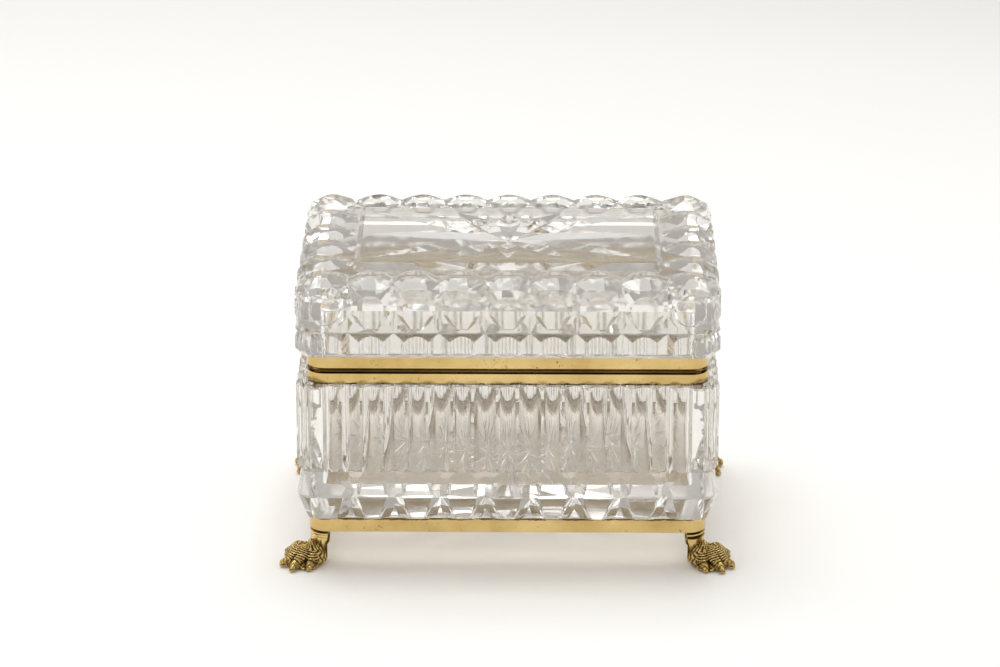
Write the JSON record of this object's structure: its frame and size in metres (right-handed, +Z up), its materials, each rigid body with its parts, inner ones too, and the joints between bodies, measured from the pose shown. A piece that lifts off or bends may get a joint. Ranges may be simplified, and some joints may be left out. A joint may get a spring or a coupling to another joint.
{
  "type": "glass casket box",
  "caption": "Cut-glass keepsake casket with a hinged glass lid, polished brass rims and cast lion-paw feet.",
  "frame": {"origin": "on the ground, under the middle of the box", "axes": "+Z up, +X along the front to the right, front towards -Y, hinge towards +Y"},
  "size_m": [0.166, 0.1138, 0.1105],
  "materials": {
    "cut_glass": "clear polished lead crystal, cut and bevelled",
    "gilt_brass": "polished gilt brass with small pits and worn edges",
    "cast_brass": "cast and chased gilt brass, dark in the recesses",
    "plaster": "matt off-white bedding plaster",
    "hinge_steel": "drawn steel pin"
  },
  "bodies": {
    "box": {"body_glass": "cut_glass", "body_rim": "gilt_brass", "rim_collar": "gilt_brass", "body_bedding": "plaster", "base_frame": "gilt_brass", "base_bedding": "plaster", "foot_front_left": "cast_brass", "foot_front_right": "cast_brass", "foot_rear_left": "cast_brass", "foot_rear_right": "cast_brass", "foot_screws": "gilt_brass", "corner_gussets": "gilt_brass", "hinge_leaf_body": "gilt_brass", "hinge_pin": "hinge_steel", "body_hinge_rivets": "gilt_brass"},
    "lid": {"lid_glass": "cut_glass", "lid_rim": "gilt_brass", "lid_bedding": "plaster", "hinge_leaf_lid": "gilt_brass", "lid_hinge_rivets": "gilt_brass"}
  },
  "joints": [
    {"name": "lid_hinge", "type": "hinge", "parent": "box", "child": "lid", "pos_m": [0, 0.0512, 0.076], "axis": [-1, 0, 0], "range_deg": [0, 95]}
  ]
}
